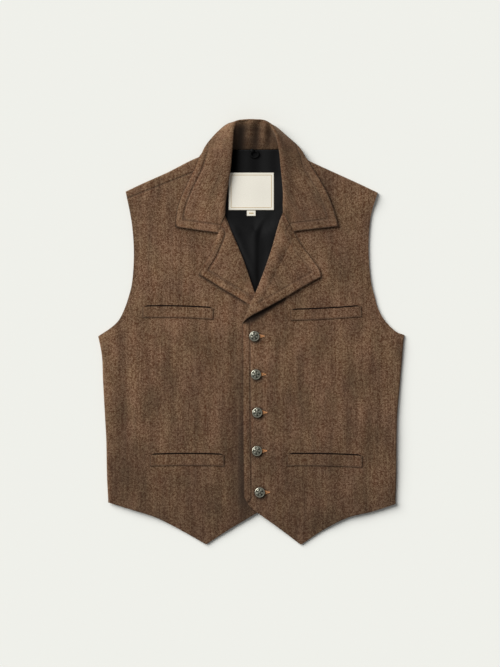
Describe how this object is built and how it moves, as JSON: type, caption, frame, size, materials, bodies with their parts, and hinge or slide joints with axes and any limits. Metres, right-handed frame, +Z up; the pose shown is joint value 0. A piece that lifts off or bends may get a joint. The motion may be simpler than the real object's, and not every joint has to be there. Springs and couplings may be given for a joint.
{
  "type": "tailored wool vest",
  "caption": "Brown herringbone wool vest laid flat and buttoned, with notched lapels, a folded collar, narrow welt pockets, pointed hem and domed metal buttons.",
  "frame": {"origin": "middle of the footprint, on the surface the vest lies on", "axes": "+Y from the hem points to the collar, +X towards the wearer's left, +Z up off the surface, front of the vest facing up"},
  "size_m": [0.535, 0.742, 0.0264],
  "materials": {
    "wool": "brown herringbone wool with a slight nap",
    "satin": "black satin lining",
    "pewter": "antiqued pewter, darkened in the relief",
    "label": "woven cream label with a gold border",
    "loop_cord": "black braided loop"
  },
  "bodies": {
    "root": {"back": "wool", "back_lining": "satin", "front_right": "wool", "front_left": "wool", "lapel_right": "wool", "lapel_left": "wool", "collar": "wool", "welt_chest_right": "wool", "welt_chest_left": "wool", "welt_waist_right": "wool", "welt_waist_left": "wool", "button_1": "pewter", "button_2": "pewter", "button_3": "pewter", "button_4": "pewter", "button_5": "pewter", "neck_label": "label", "size_tab": "label", "hanger_loop": "loop_cord"}
  },
  "joints": []
}
